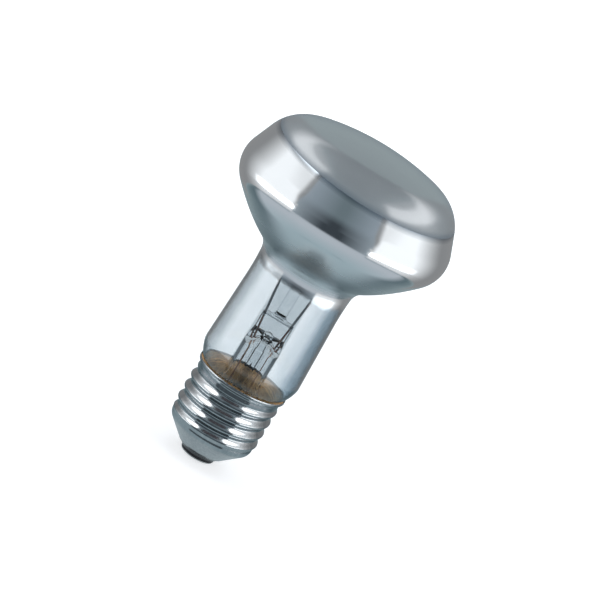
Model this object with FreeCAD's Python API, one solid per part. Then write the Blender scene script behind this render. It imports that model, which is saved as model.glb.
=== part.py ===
"""Reflector bulb with a 27 mm screw cap, upright on its contact tip.

The frame has its origin on the flat of the solder at the contact tip, with +Z along the axis
towards the frosted face. All sizes are in millimetres and all angles in degrees. The glass is a
surface of revolution. The inside of its bowl, which carries the mirror, is a true paraboloid,
and the filament stands at its focus.
"""

import FreeCAD
import Part
import math
import os
from FreeCAD import Vector

# Overall sizes
overall_length = 102.0
bulb_diameter = 63.5
cap_height = 27.0

# Glass envelope, from the face down
glass_wall = 0.7
dome_round = 77.5
rim_round = 12.5
belt_slope = 22.3
face_depth = 19.35
equator_height = overall_length - face_depth
equator_round = 9.7
focal_length = 13.34
throat_round = 5.3
waist_diameter = 28.0
waist_round = 75.0
waist_slope = 4.2
neck_taper = 2.2
lip_clearance = 0.4208
shoulder_round = 4.3
shoulder_slope = 14.7
collar_round = 14.0
tuck_round = 3.0
seal_depth = 7.5
seal_height = cap_height - seal_depth

# Mirror film inside the bowl
film_thickness = 0.1
film_top_gap = 0.4
film_reach = 24.35
film_bottom_height = equator_height - film_reach

# Screw cap
sheet = 0.25
crest_diameter = 26.3
root_diameter = 24.3
thread_pitch = 3.629
lip_height = 2.4
thread_top = cap_height - lip_height
thread_fade = 0.45
thread_start = 150.0
sections_per_turn = 8
lip_diameter = 27.0
lip_rise = 0.6
lip_flare = 1.3
cone_slope = 46.0
cone_hole_diameter = 14.0
cone_bottom = 3.2
corner_round = 2.5
cement_gap = 0.73
cement_depth = 8.0
cement_top_gap = 0.6

# Insulator and centre contact
button_height = 0.8
plate_thickness = 0.35
plate_diameter = 9.8
eyelet_bore = 2.0
eyelet_wall = 0.25
eyelet_length = 1.9
insulator_boss_diameter = 10.2
insulator_boss_rise = 0.5
insulator_floor = 6.2
insulator_floor_diameter = 8.0
insulator_top = 8.2
insulator_bore = 1.8
solder_diameter = 4.6
solder_flat_diameter = 1.8
side_solder_radius = 0.85

# Stem
flare_wall = 0.9
flare_tube_diameter = 10.8
flare_round = 7.0
flare_slope = 60.0
flare_length = 8.0
stem_length = 22.0
press_bottom_height = seal_height + stem_length
press_height = 5.2
press_width = 9.6
press_thickness = 3.4
press_corner = 0.4
jaw_run = 4.0
jaw_round = 1.5
hump_height = 1.2
hump_width = 5.2
hollow_cone = 2.6
exhaust_diameter = 3.8
exhaust_bore = 2.2
exhaust_top_gap = 2.5
exhaust_tail = 4.0
exhaust_tip_height = seal_height - exhaust_tail
exhaust_tip_length = 3.0
exhaust_tip_diameter = 0.8
bubble_diameter = 3.4
bubble_drop = 1.0
orifice_diameter = 1.8

# Filament mount
rod_diameter = 3.2
button_diameter = 4.6
button_drop = 6.5
filament_diameter = 14.4
coil_diameter = 0.7
support_diameter = 0.24
support_count = 3
support_hook = 230.0
clamp_diameter = 1.5
clamp_length = 1.4
lead_diameter = 0.7
lead_exit = 8.4
seal_wire_diameter = 0.6
seal_wire_top_gap = 1.3
seal_wire_length = 7.8
centre_lead_diameter = 0.5
side_lead_diameter = 0.3
lead_straight = 1.5

AXIS = Vector(0, 0, 1)
ORIGIN = Vector(0, 0, 0)
BACK = Vector(0, 1, 0)
SHORTEST = 1e-6


def save(shape, name):
    """Write one sub-part and say what it holds."""
    shape.exportStep("parts/" + name + ".step")
    print(f"{name:18s} solids {len(shape.Solids)}  volume {shape.Volume:9.2f}  valid {shape.isValid()}")


def root_between(function, low, high):
    """The place between low and high where the function changes sign, by halving."""
    low_sign = function(low) > 0
    for _ in range(60):
        middle = (low + high) / 2
        if (function(middle) > 0) == low_sign:
            low = middle
        else:
            high = middle
    return (low + high) / 2


def flat(radius, height):
    """A point of a turned profile, in the X-Z plane."""
    return Vector(radius, 0, height)


def outward(angle):
    """The outward direction that rises by an angle above level, in the X-Z plane."""
    return Vector(math.cos(angle), 0, math.sin(angle))


def downward(angle):
    """The direction down a surface whose outward direction rises by an angle."""
    return Vector(math.sin(angle), 0, -math.cos(angle))


def turned(edges):
    """The solid that a closed profile in the X-Z plane sweeps about the axis."""
    profile = Part.Wire(Part.__sortEdges__(edges))
    return Part.Face(profile).revolve(ORIGIN, AXIS, 360)


def line(start, end):
    return Part.makeLine(start, end)


def rounded_run(points, rounds):
    """Straight edges through the points, each inner corner rounded by its own radius (0 is sharp)."""
    edges = []
    start = points[0]
    for before, corner, after, radius in zip(points, points[1:], points[2:], rounds):
        back = (before - corner).normalize()
        on = (after - corner).normalize()
        half_turn = (math.pi - back.getAngle(on)) / 2
        if radius <= 0 or half_turn < 1e-4:
            edges.append(line(start, corner))
            start = corner
            continue
        reach = radius * math.tan(half_turn)
        inward = (back + on).normalize()
        middle = corner + inward * (radius / math.cos(half_turn) - radius)
        if (start - corner).Length > reach + SHORTEST:
            edges.append(line(start, corner + back * reach))
        edges.append(Part.Arc(corner + back * reach, middle, corner + on * reach).toShape())
        start = corner + on * reach
    if (start - points[-1]).Length > SHORTEST:
        edges.append(line(start, points[-1]))
    return edges


def wire_along(edges, diameter):
    """A round wire along a smooth run of edges."""
    path = Part.Wire(edges)
    first = edges[0]
    heading = first.tangentAt(first.FirstParameter)
    ring = Part.Wire(Part.makeCircle(diameter / 2, first.valueAt(first.FirstParameter), heading))
    return path.makePipeShell([ring], True, True)


def straight_wire(start, end, diameter):
    return Part.makeCylinder(diameter / 2, (end - start).Length, start, end - start)


class GlassLine:
    """A profile drawn from the apex down, at one depth under the outer skin of the glass."""

    def __init__(self, start, angle, depth):
        self.skin = start
        self.angle = angle
        self.depth = depth
        self.edges = []

    def inner(self, skin, angle):
        return skin - outward(angle) * self.depth

    def bend(self, angle, radius):
        """Turn the surface to an angle. A negative radius is a hollow curve."""
        centre = self.skin - outward(self.angle) * radius
        places = []
        for share in (0, 0.5, 1):
            at = self.angle + (angle - self.angle) * share
            places.append(self.inner(centre + outward(at) * radius, at))
        self.edges.append(Part.Arc(*places).toShape())
        self.skin = centre + outward(angle) * radius
        self.angle = angle

    def straight(self, length):
        end = self.skin + downward(self.angle) * length
        self.edges.append(line(self.inner(self.skin, self.angle), self.inner(end, self.angle)))
        self.skin = end

    def bowl(self, end_radius, steps=6):
        """Follow the mirror's paraboloid down to a smaller radius of the mirror."""
        mirror = self.skin - outward(self.angle) * glass_wall
        places = []
        angles = []
        for step in range(steps + 1):
            radius = mirror.x + (end_radius - mirror.x) * step / steps
            fall = (mirror.x ** 2 - radius ** 2) / (4 * focal_length)
            angles.append(-math.atan(2 * focal_length / radius))
            skin = flat(radius, mirror.z - fall) + outward(angles[-1]) * glass_wall
            places.append(self.inner(skin, angles[-1]))
        curve = Part.BSplineCurve()
        curve.interpolate(
            Points=places,
            InitialTangent=downward(angles[0]),
            FinalTangent=downward(angles[-1]),
        )
        self.edges.append(curve.toShape())
        self.skin = skin
        self.angle = angles[-1]


def rim_angle_and_belt():
    """Where the dome meets the rim, and how long the straight belt is."""
    slope = math.radians(belt_slope)
    equator_centre = flat(bulb_diameter / 2 - equator_round, equator_height)
    dome_centre = flat(0, overall_length - dome_round)
    belt_foot = equator_centre + outward(slope) * equator_round

    def rim_centre(length):
        return belt_foot - downward(slope) * length - outward(slope) * rim_round

    length = root_between(
        lambda trial: (rim_centre(trial) - dome_centre).Length - (dome_round - rim_round),
        0,
        bulb_diameter / 2,
    )
    lean = rim_centre(length) - dome_centre
    return math.atan2(lean.z, lean.x), length


def bowl_join_angle():
    """How far the equator's round turns before it runs into the paraboloid."""

    def mismatch(turn):
        return mirror_edge(turn).x * math.tan(turn) - 2 * focal_length

    return root_between(mismatch, 0.05, 1.5)


def mirror_edge(turn):
    """The point of the mirror at an angle below the middle of the equator's round."""
    centre = flat(bulb_diameter / 2 - equator_round, equator_height)
    return centre + outward(-turn) * (equator_round - glass_wall)


def bowl_end_radius():
    """The mirror's radius where it gives way to the throat, for the waist to come out right."""
    slope = math.radians(waist_slope)

    def mismatch(radius):
        bowl_angle = math.atan(2 * focal_length / radius)
        throat_start = radius + glass_wall * math.cos(bowl_angle)
        throat = throat_round * (math.cos(slope) - math.cos(bowl_angle))
        return throat_start - throat - waist_round * (1 - math.cos(slope)) - waist_diameter / 2

    return root_between(mismatch, waist_diameter / 2, bulb_diameter / 2)


def sleeve_radius():
    """The outer radius of the glass where it stands in the cap."""
    return root_diameter / 2 - sheet - cement_gap


def collar_angle(start):
    """How far the collar turns in, so that the tuck below it ends on the sleeve's radius."""
    slope = math.radians(shoulder_slope)
    gap = sleeve_radius() + tuck_round - start.x + collar_round * math.cos(slope)
    return -math.acos(gap / (collar_round + tuck_round))


def bowl_line(depth):
    """The glass from the apex to the end of the paraboloid."""
    rim_angle, belt_length = rim_angle_and_belt()
    glass = GlassLine(flat(0, overall_length), math.pi / 2, depth)
    glass.bend(rim_angle, dome_round)
    glass.bend(math.radians(belt_slope), rim_round)
    glass.straight(belt_length)
    glass.bend(-bowl_join_angle(), equator_round)
    glass.bowl(bowl_end_radius())
    return glass


def neck_length(start):
    """How long the neck's straight is, for the collar under it to clear the lip's edge."""
    taper = math.radians(neck_taper)
    slope = math.radians(shoulder_slope)
    collar_centre = start + (outward(-slope) - outward(taper)) * shoulder_round
    collar_centre -= outward(-slope) * collar_round

    def length(angle):
        """The straight that brings this angle of the collar's curve to the lip's height."""
        return (collar_centre.z - math.sin(angle) * collar_round - cap_height) / math.cos(taper)

    def mismatch(angle):
        across = collar_centre.x + math.sin(taper) * length(angle) + math.cos(angle) * collar_round
        return across - (lip_diameter / 2 - sheet - lip_clearance)

    return length(root_between(mismatch, slope, math.radians(75)))


def neck_line(depth):
    """The glass from the apex all the way to the seal."""
    glass = bowl_line(depth)
    glass.bend(-math.radians(waist_slope), -throat_round)
    glass.bend(math.radians(neck_taper), -waist_round)
    glass.straight(neck_length(glass.skin))
    glass.bend(-math.radians(shoulder_slope), shoulder_round)
    glass.bend(collar_angle(glass.skin), collar_round)
    glass.bend(0, -tuck_round)
    glass.straight(glass.skin.z - seal_height)
    return glass


def focus_height():
    """Where the paraboloid gathers its light."""
    edge = mirror_edge(bowl_join_angle())
    return edge.z - edge.x ** 2 / (4 * focal_length) + focal_length


def end_of(edges):
    return edges[-1].Vertexes[-1].Point


def glass_envelope():
    """The blown bulb, one shell of even wall, open at the seal where the stem is fused in."""
    outer = neck_line(0).edges
    inner = neck_line(glass_wall).edges
    sleeve = sleeve_radius()
    apex = line(flat(0, overall_length), flat(0, overall_length - glass_wall))
    seal = line(flat(sleeve, seal_height), flat(sleeve - glass_wall, seal_height))
    return turned(outer + inner + [apex, seal])


def envelope_space():
    """Everything inside the outer skin of the glass, to clear what is packed round it."""
    sleeve = sleeve_radius()
    bottom = line(flat(sleeve, seal_height), flat(0, seal_height))
    axis = line(flat(0, seal_height), flat(0, overall_length))
    return turned(neck_line(0).edges + [bottom, axis])


def mirror_coating(bowl_glass):
    """The silvering on the inside of the bowl, from the foot of the rim down to the throat."""
    outer = neck_line(glass_wall).edges
    inner = neck_line(glass_wall + film_thickness).edges
    top = bowl_glass.edges[2].Vertexes[0].Point.z - film_top_gap
    apex = line(flat(0, overall_length - glass_wall), flat(0, overall_length - glass_wall - film_thickness))
    sleeve = sleeve_radius() - glass_wall
    seal = line(flat(sleeve, seal_height), flat(sleeve - film_thickness, seal_height))
    lining = turned(outer + inner + [apex, seal])
    band = Part.makeCylinder(bulb_diameter, top - film_bottom_height, flat(0, film_bottom_height))
    return lining.common(band)


def corner_height():
    """The height where the wall of the cap begins to turn in, for the cone to reach its hole."""
    mean = mean_thread_radius()
    slope = math.radians(cone_slope)
    meet = cone_bottom + (mean - cone_hole_diameter / 2) / math.tan(slope)
    return meet + corner_round * math.tan(slope / 2)


def mean_thread_radius():
    return (crest_diameter + root_diameter) / 4


def thread_body(inset):
    """The threaded stretch of the cap, as a pile of level rings whose centres climb a helix.

    A ring set off centre stands out on one side and back on the other, so a centre that goes
    round once in each pitch makes a rolled thread. The offset fades out at both ends.
    """
    throw = (crest_diameter - root_diameter) / 4
    low = corner_height()
    count = round((thread_top - low) / thread_pitch * sections_per_turn)
    rings = []
    for step in range(count + 1):
        height = low + (thread_top - low) * step / count
        from_end = min(height - low, thread_top - height) / (thread_fade * thread_pitch)
        fade = math.sin(min(1, from_end) * math.pi / 2) ** 2
        turn = math.radians(thread_start) + 2 * math.pi * (height - low) / thread_pitch
        centre = Vector(throw * fade * math.cos(turn), throw * fade * math.sin(turn), height)
        rings.append(Part.Wire(Part.makeCircle(mean_thread_radius() - inset, centre)))
    return Part.makeLoft(rings, True, True)


def lip_run(inset):
    """The flared lip above the thread, at a depth under its outside."""
    mean = mean_thread_radius() - inset
    lip = lip_diameter / 2 - inset
    slope = math.atan2(lip_diameter / 2 - mean_thread_radius(), lip_flare)
    drop = inset * math.tan(slope / 2)
    foot = thread_top + lip_rise
    return [
        flat(mean, thread_top),
        flat(mean, foot + drop),
        flat(lip, foot + lip_flare + drop),
        flat(lip, cap_height),
    ]


def cone_run(inset):
    """The cone below the thread, from its hole up, at a depth under its outside."""
    slope = math.radians(cone_slope)
    mean = mean_thread_radius()
    meet = cone_bottom + (mean - cone_hole_diameter / 2) / math.tan(slope)
    across = flat(math.cos(slope), -math.sin(slope)) * inset
    corner = flat(mean - inset, meet + inset * math.tan(slope / 2))
    return [flat(cone_hole_diameter / 2, cone_bottom) - across, corner, flat(mean - inset, corner_height())]


def sheet_band(outer, inner):
    """A turned band of sheet between two lines that run side by side."""
    ends = [line(outer[0].Vertexes[0].Point, inner[0].Vertexes[0].Point), line(end_of(outer), end_of(inner))]
    return turned(outer + inner + ends)


def cap_shell():
    """The screw shell, drawn from thin sheet, with a rolled right-hand thread."""
    lip = sheet_band(rounded_run(lip_run(0), (0, 0)), rounded_run(lip_run(sheet), (0, 0)))
    cone = sheet_band(
        rounded_run(cone_run(0), (corner_round,)),
        rounded_run(cone_run(sheet), (corner_round - sheet,)),
    )
    thread = thread_body(0).cut(thread_body(sheet))
    return thread.fuse(lip).fuse(cone)


def insulator(shell):
    """The black glass moulded into the cone of the cap, with a bore for the centre lead."""
    foot = button_height + plate_thickness
    boss = insulator_boss_diameter / 2
    boss_top = foot + insulator_boss_rise
    sheet_middle = cone_run(sheet / 2)
    hole = cone_hole_diameter / 2 - sheet
    slope = math.radians(cone_slope)
    top_radius = sheet_middle[0].x + (insulator_top - sheet_middle[0].z) * math.tan(slope)
    eyelet = eyelet_bore / 2 + eyelet_wall
    eyelet_top = foot + eyelet_length
    bore = insulator_bore / 2
    outline = [
        flat(eyelet, foot),
        flat(boss, foot),
        flat(boss, boss_top),
        flat(hole, cone_bottom),
        sheet_middle[0],
        flat(top_radius, insulator_top),
        flat(insulator_floor_diameter / 2, insulator_floor),
        flat(bore, insulator_floor),
        flat(bore, eyelet_top),
        flat(eyelet, eyelet_top),
        flat(eyelet, foot),
    ]
    blank = turned([line(a, b) for a, b in zip(outline, outline[1:])])
    return blank.cut(shell)


def centre_contact():
    """The contact plate under the insulator, with the eyelet that the lead comes down."""
    foot = button_height + plate_thickness
    bore = eyelet_bore / 2
    plate = Part.makeCylinder(plate_diameter / 2, plate_thickness, flat(0, button_height))
    eyelet = Part.makeCylinder(bore + eyelet_wall, eyelet_length, flat(0, foot))
    hole = Part.makeCylinder(bore, plate_thickness + eyelet_length, flat(0, button_height))
    return plate.fuse(eyelet).cut(hole).removeSplitter()


def contact_solder(centre_lead):
    """The drop of solder that fills the eyelet and ends in a small flat at the very tip."""
    bore = eyelet_bore / 2
    edge = solder_diameter / 2
    tip = solder_flat_diameter / 2
    top = button_height + plate_thickness
    outline = [flat(edge, button_height), flat(bore, button_height), flat(bore, top), flat(0, top), ORIGIN]
    sides = [line(a, b) for a, b in zip(outline, outline[1:])]
    middle = flat(tip + (edge - tip) * 0.65, button_height * 0.3)
    dome = Part.Arc(flat(tip, 0), middle, flat(edge, button_height)).toShape()
    return turned(sides + [line(ORIGIN, flat(tip, 0)), dome]).cut(centre_lead)


def basing_cement(shell, glass_space, side_lead):
    """The ring of cement between the neck and the cap, up to just under the lip's edge."""
    bottom = cap_height - cement_top_gap - cement_depth
    throat = root_diameter / 2 - sheet
    sleeve = sleeve_radius() - glass_wall / 2
    lip = lip_run(sheet / 2)
    top = cap_height - cement_top_gap
    outline = [
        flat(sleeve, bottom),
        flat(throat, bottom),
        flat(throat, thread_top),
        lip[0],
        lip[1],
        lip[2],
        flat(lip[3].x, top),
        flat(sleeve, top),
        flat(sleeve, bottom),
    ]
    blank = turned([line(a, b) for a, b in zip(outline, outline[1:])])
    return blank.cut(shell).cut(glass_space).cut(side_lead)


def press_top():
    return press_bottom_height + press_height


def bubble_centre():
    return flat(0, press_bottom_height - bubble_drop)


def exhaust_top():
    return press_bottom_height - exhaust_top_gap


def stem_profile():
    """The stem before its press is pinched: hump, press, tube and flare, hollow from below."""
    tube = flare_tube_diameter / 2
    edge = sleeve_radius() - glass_wall
    slope = math.radians(flare_slope)
    flare_top = seal_height + flare_length
    centre = flat(tube + flare_round, flare_top)
    lower_round = flare_round + flare_wall

    def flare_arc(radius):
        places = [centre - flat(math.cos(slope * s), math.sin(slope * s)) * radius for s in (0, 0.5, 1)]
        return Part.Arc(*places).toShape(), places[-1]

    upper_arc, upper_end = flare_arc(flare_round)
    lower_arc, lower_end = flare_arc(lower_round)
    upper_edge = flat(edge, upper_end.z - (edge - upper_end.x) / math.tan(slope))
    lower_edge = flat(edge, lower_end.z - (edge - lower_end.x) / math.tan(slope))
    hollow = tube - flare_wall
    socket = exhaust_diameter / 2
    jaw_foot = press_bottom_height - jaw_run
    crown = [
        flat(0, press_top() + hump_height),
        flat(rod_diameter / 2, press_top() + hump_height),
        flat(hump_width / 2, press_top()),
        flat(press_width / 2, press_top()),
        flat(press_width / 2, press_bottom_height),
        flat(tube, jaw_foot),
        flat(tube, flare_top),
    ]
    inside = [
        flat(hollow, flare_top),
        flat(hollow, jaw_foot - glass_wall),
        flat(socket, jaw_foot - glass_wall + hollow_cone),
        flat(socket, exhaust_top()),
        flat(exhaust_bore / 2, exhaust_top()),
        flat(exhaust_bore / 2, bubble_centre().z),
        bubble_centre(),
        crown[0],
    ]
    edges = rounded_run(crown, (0, 0, press_corner, 0, 0)) + [upper_arc, line(upper_end, upper_edge)]
    edges += [line(upper_edge, lower_edge), line(lower_edge, lower_end), lower_arc]
    return edges + [line(a, b) for a, b in zip(inside, inside[1:])]


def press_jaws():
    """The space that the pressing jaws leave: thin across the press, wide over the tube below."""
    half = press_thickness / 2
    wide = bulb_diameter / 2
    tube = flare_tube_diameter / 2
    jaw_foot = press_bottom_height - jaw_run
    over = press_top() + 2 * hump_height
    side = [
        Vector(0, half, over),
        Vector(0, half, press_bottom_height),
        Vector(0, tube, jaw_foot),
        Vector(0, wide, jaw_foot),
        Vector(0, wide, 0),
    ]
    other = [Vector(0, -p.y, p.z) for p in reversed(side)]
    rounds = (jaw_round, 0, 0)
    edges = rounded_run(side, rounds) + [line(side[-1], other[0])]
    edges += rounded_run(other, tuple(reversed(rounds))) + [line(other[-1], side[0])]
    profile = Part.Face(Part.Wire(edges))
    profile.translate(Vector(-wide, 0, 0))
    return profile.extrude(Vector(2 * wide, 0, 0))


def stem_glass(wires):
    """The flared stem with its press, and the blown bubble that opens the exhaust tube."""
    stem = turned(stem_profile()).common(press_jaws())
    bubble = Part.makeSphere(bubble_diameter / 2, bubble_centre())
    orifice = Part.makeCylinder(orifice_diameter / 2, flare_tube_diameter, bubble_centre(), -BACK)
    stem = stem.cut(bubble).cut(orifice)
    for wire in wires:
        stem = stem.cut(wire)
    return stem


def exhaust_tube():
    """The pumping tube inside the stem, drawn off and closed at its lower end."""
    outer = exhaust_diameter / 2
    bore = exhaust_bore / 2
    wall = outer - bore
    tip = exhaust_tip_diameter / 2
    neck = exhaust_tip_height + exhaust_tip_length
    outline = [
        flat(bore, exhaust_top()),
        flat(outer, exhaust_top()),
        flat(outer, neck),
        flat(tip, exhaust_tip_height),
        flat(0, exhaust_tip_height),
        flat(0, exhaust_tip_height + 2 * wall),
        flat(bore, neck),
        flat(bore, exhaust_top()),
    ]
    return turned([line(a, b) for a, b in zip(outline, outline[1:])])


def button_centre():
    return flat(0, focus_height() - button_drop)


def arbor_rod(supports):
    """The glass rod on the press, melted to a button that holds the support wires."""
    rod = rod_diameter / 2
    button = button_diameter / 2
    foot = press_top() + hump_height
    centre = button_centre()
    join = math.asin(rod / button)
    start = centre + flat(rod, -button * math.cos(join))
    top = centre + flat(0, button)
    ball = Part.Arc(start, centre + flat(button, 0), top).toShape()
    edges = [line(flat(0, foot), flat(rod, foot)), line(flat(rod, foot), start), ball, line(top, flat(0, foot))]
    shape = turned(edges)
    for support in supports:
        shape = shape.cut(support)
    return shape


def filament():
    """The coil, a half ring round the focus from one lead to the other by the front."""
    ring = Part.makeTorus(filament_diameter / 2, coil_diameter / 2, flat(0, focus_height()), AXIS, 0, 360, 180)
    ring.rotate(ORIGIN, AXIS, 180)
    return ring


def support_wire(bearing):
    """A wire out of the button, hooked under and round the coil."""
    hook = (coil_diameter + support_diameter) / 2
    centre = flat(filament_diameter / 2, focus_height())
    start = button_centre() + flat(button_diameter / 4, button_diameter / 8)
    aim = centre - start
    heading = math.atan2(aim.z, aim.x) - math.asin(hook / aim.Length)
    reach = math.sqrt(aim.Length ** 2 - hook ** 2)
    touch = start + outward(heading) * reach
    first = heading - math.pi / 2
    sweep = math.radians(support_hook)
    round_coil = [centre + outward(first + sweep * share) * hook for share in (0, 0.5, 1)]
    round_coil[0] = touch
    wire = wire_along([line(start, touch), Part.Arc(*round_coil).toShape()], support_diameter)
    wire.rotate(ORIGIN, AXIS, bearing)
    return wire


def lead_point(side, height):
    """A point on the straight line that a lead keeps from the press to the coil."""
    low = flat(lead_exit / 2, press_top())
    high = flat(filament_diameter / 2, focus_height())
    share = (height - low.z) / (high.z - low.z)
    point = low + (high - low) * share
    return Vector(side * point.x, 0, height)


def inner_lead(side, coil):
    """The stiff wire from the press to the coil, with a clamp closed on the coil's end."""
    weld = lead_point(side, press_top() - seal_wire_top_gap)
    end = lead_point(side, focus_height())
    clamp_start = end + BACK * (clamp_length / 4)
    clamp = Part.makeCylinder(clamp_diameter / 2, clamp_length, clamp_start, -BACK)
    return straight_wire(weld, end, lead_diameter).fuse(clamp).cut(coil)


def seal_wire(side):
    """The copper-clad wire that makes the vacuum seal inside the press."""
    top = press_top() - seal_wire_top_gap
    return straight_wire(lead_point(side, top), lead_point(side, top - seal_wire_length), seal_wire_diameter)


def outer_lead_start(side):
    """The end of the seal wire and the bend below it, where the lead turns to hang straight."""
    weld = press_top() - seal_wire_top_gap - seal_wire_length
    return [lead_point(side, weld), lead_point(side, weld - lead_straight)]


def centre_lead():
    """The lead to the contact at the tip, past the exhaust tube's end and down the eyelet."""
    start = outer_lead_start(-1)
    turn_out = Vector(start[1].x, 0, exhaust_tip_height - 2)
    turn_down = flat(0, insulator_top + 0.4)
    end = flat(0, button_height / 2)
    points = start + [turn_out, turn_down, end]
    return wire_along(rounded_run(points, (4, 2, 2)), centre_lead_diameter)


def lip_gap():
    """The middle of the gap between the glass and the lip's edge, and the way out through it."""
    edge = flat(lip_diameter / 2 - sheet, cap_height)
    skin = Part.Wire(neck_line(0).edges)
    near = skin.distToShape(Part.Vertex(edge))[1][0][0]
    across = (edge - near).normalize()
    return (edge + near) * 0.5, flat(-across.z, across.x)


def side_lead():
    """The lead that goes under the seal, up between glass and cap, and over the lip at the back."""
    start = outer_lead_start(1)
    hang = start[1].x
    sleeve_gap = sleeve_radius() + cement_gap / 2
    under = seal_height - 2
    gap, way_out = lip_gap()
    run = [
        flat(sleeve_gap, seal_height),
        flat(sleeve_gap, thread_top - 0.6),
        gap - way_out * 0.5,
        gap + way_out * 0.35,
        flat(lip_diameter / 2 + 0.45, cap_height + side_lead_diameter / 4),
    ]
    points = start + [Vector(hang, 0, under), Vector(hang / 2, sleeve_gap, under - 1)]
    points += [Vector(0, point.x, point.z) for point in run]
    return wire_along(rounded_run(points, (4, 1.2, 1, 1, 0.8, 0.6, 0.3)), side_lead_diameter)


def side_solder(shell, lead):
    """The blob of solder that joins the side lead to the lip."""
    centre = Vector(0, lip_diameter / 2 + side_solder_radius / 2, cap_height - 0.1)
    return Part.makeSphere(side_solder_radius, centre).cut(shell).cut(lead)


def main():
    os.makedirs("parts", exist_ok=True)
    shell = cap_shell()
    coil = filament()
    bearings = [-180 * (step + 1) / (support_count + 1) for step in range(support_count)]
    supports = [support_wire(bearing) for bearing in bearings]
    sides = {"left": -1, "right": 1}
    leads = {name: inner_lead(side, coil) for name, side in sides.items()}
    seals = {name: seal_wire(side) for name, side in sides.items()}
    to_centre = centre_lead()
    to_side = side_lead()

    save(glass_envelope(), "glass_envelope")
    save(mirror_coating(bowl_line(glass_wall)), "mirror_coating")
    save(stem_glass(list(leads.values()) + list(seals.values())), "stem_glass")
    save(exhaust_tube(), "exhaust_tube")
    save(arbor_rod(supports), "arbor_rod")
    save(coil, "filament")
    for number, support in enumerate(supports, 1):
        save(support, f"support_wire_{number}")
    for name in sides:
        save(leads[name], "inner_lead_" + name)
        save(seals[name], "seal_wire_" + name)
    save(to_centre, "centre_lead")
    save(to_side, "side_lead")
    save(basing_cement(shell, envelope_space(), to_side), "basing_cement")
    save(shell, "cap_shell")
    save(insulator(shell), "insulator")
    save(centre_contact(), "centre_contact")
    save(contact_solder(to_centre), "contact_solder")
    save(side_solder(shell, to_side), "side_solder")


main()
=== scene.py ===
"""Reflector bulb: the looks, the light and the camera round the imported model.

Everything is in metres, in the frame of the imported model: the origin is at the contact tip, +Z
runs along the axis to the frosted face, and the photograph looks along +Y. The glass, the mirror
film and the screw shell are turned again here on finer lines, because they carry reflections, and
the filament is wound as a coil.
"""

import math

import bpy
from mathutils import Matrix, Vector


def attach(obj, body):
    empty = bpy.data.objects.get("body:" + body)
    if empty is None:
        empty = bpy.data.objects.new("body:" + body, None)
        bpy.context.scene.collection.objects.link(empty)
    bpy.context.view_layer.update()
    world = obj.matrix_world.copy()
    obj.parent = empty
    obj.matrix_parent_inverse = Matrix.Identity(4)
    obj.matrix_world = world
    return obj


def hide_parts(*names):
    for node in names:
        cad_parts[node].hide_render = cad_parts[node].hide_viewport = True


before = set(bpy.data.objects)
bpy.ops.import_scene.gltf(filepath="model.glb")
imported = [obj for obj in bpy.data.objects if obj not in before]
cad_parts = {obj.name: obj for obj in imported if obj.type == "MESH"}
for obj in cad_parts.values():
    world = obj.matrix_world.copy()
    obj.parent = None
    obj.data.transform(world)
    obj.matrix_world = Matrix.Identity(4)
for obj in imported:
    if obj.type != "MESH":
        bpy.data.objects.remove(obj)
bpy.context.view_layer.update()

MM = 0.001
BODY = "root"

# Glass, as in the model
overall_length = 102.0 * MM
bulb_radius = 31.75 * MM
glass_wall = 0.7 * MM
dome_round = 77.5 * MM
rim_round = 12.5 * MM
belt_slope = math.radians(22.3)
equator_height = 82.65 * MM
equator_round = 9.7 * MM
focal_length = 13.34 * MM
throat_round = 5.3 * MM
waist_radius = 14.0 * MM
waist_round = 75.0 * MM
waist_slope = math.radians(4.2)
neck_taper = math.radians(2.2)
shoulder_height = 32.45 * MM
shoulder_round = 4.3 * MM
shoulder_slope = math.radians(14.7)
collar_round = 14.0 * MM
tuck_round = 3.0 * MM
sleeve_radius = 11.17 * MM
seal_height = 19.5 * MM
skin_inset = 0.012 * MM  # keeps the finer skin inside the model's own

# Mirror film
film_inset = 0.03 * MM
film_thickness = 0.06 * MM
film_edge_height = 93.8 * MM
film_edge_lean = 0.0464
film_edge_pitch = 0.070
film_edge_softness = 1.5 * MM
film_edge_gap = 0.55 * MM
film_end_height = 58.5 * MM

# Screw cap
sheet = 0.25 * MM
crest_radius = 13.15 * MM
root_radius = 12.15 * MM
thread_pitch = 3.629 * MM
thread_top = 24.6 * MM
thread_fade = 0.45
thread_start = math.radians(150)
lip_radius = 13.5 * MM
lip_foot = 25.2 * MM
lip_flare = 1.3 * MM
cap_height = 27.0 * MM
cone_hole_radius = 7.0 * MM
cone_bottom = 3.2 * MM
cone_slope = math.radians(46)
corner_round = 2.5 * MM

# Filament coil
focus_height = 74.49 * MM
filament_radius = 7.2 * MM
coil_radius = 0.3 * MM
coil_wire_radius = 0.035 * MM
coil_turns = 150
coil_turn_steps = 10
coil_wire_sides = 5

# How finely the skin of the glass is drawn
STRAIGHT_STEPS = 10
BEND_STEPS = 40
WIDE_BEND_STEPS = 60
EQUATOR_STEPS = 80
BOWL_STEPS = 60

# How finely the glass, the film and the shell are turned
SEGMENTS = 192
FACE_ROWS = 46
WALL_ROWS = 130
FILM_ROWS = 130
LIP_ROWS = 6
THREAD_ROWS = 96
CORNER_ROWS = 10
CONE_ROWS = 6

HALVINGS = 60
ON_AXIS = 1e-9

# Studio, which shows in reflections only. Bearings are in degrees from the photograph's side.
SOFTBOX_RADIUS = 0.25
SOFTBOX_BEARINGS = (40, 160)
SOFTBOX_FOOT = -0.075
SOFTBOX_TOP = 0.40
ROOM_RADIUS = 0.75
ROOM_TOP = 0.95
ROOM_CORNER = 118
CEILING_LIGHT_HEIGHT = 0.6
TABLE_EDGE = 0.12
TABLE_END = 1.2

GLASS_IOR = 1.5

# The lumps to the metre of the silvering's clouds and of the smears on the glass
CLOUDS = 70
SMEARS = 160

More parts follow.
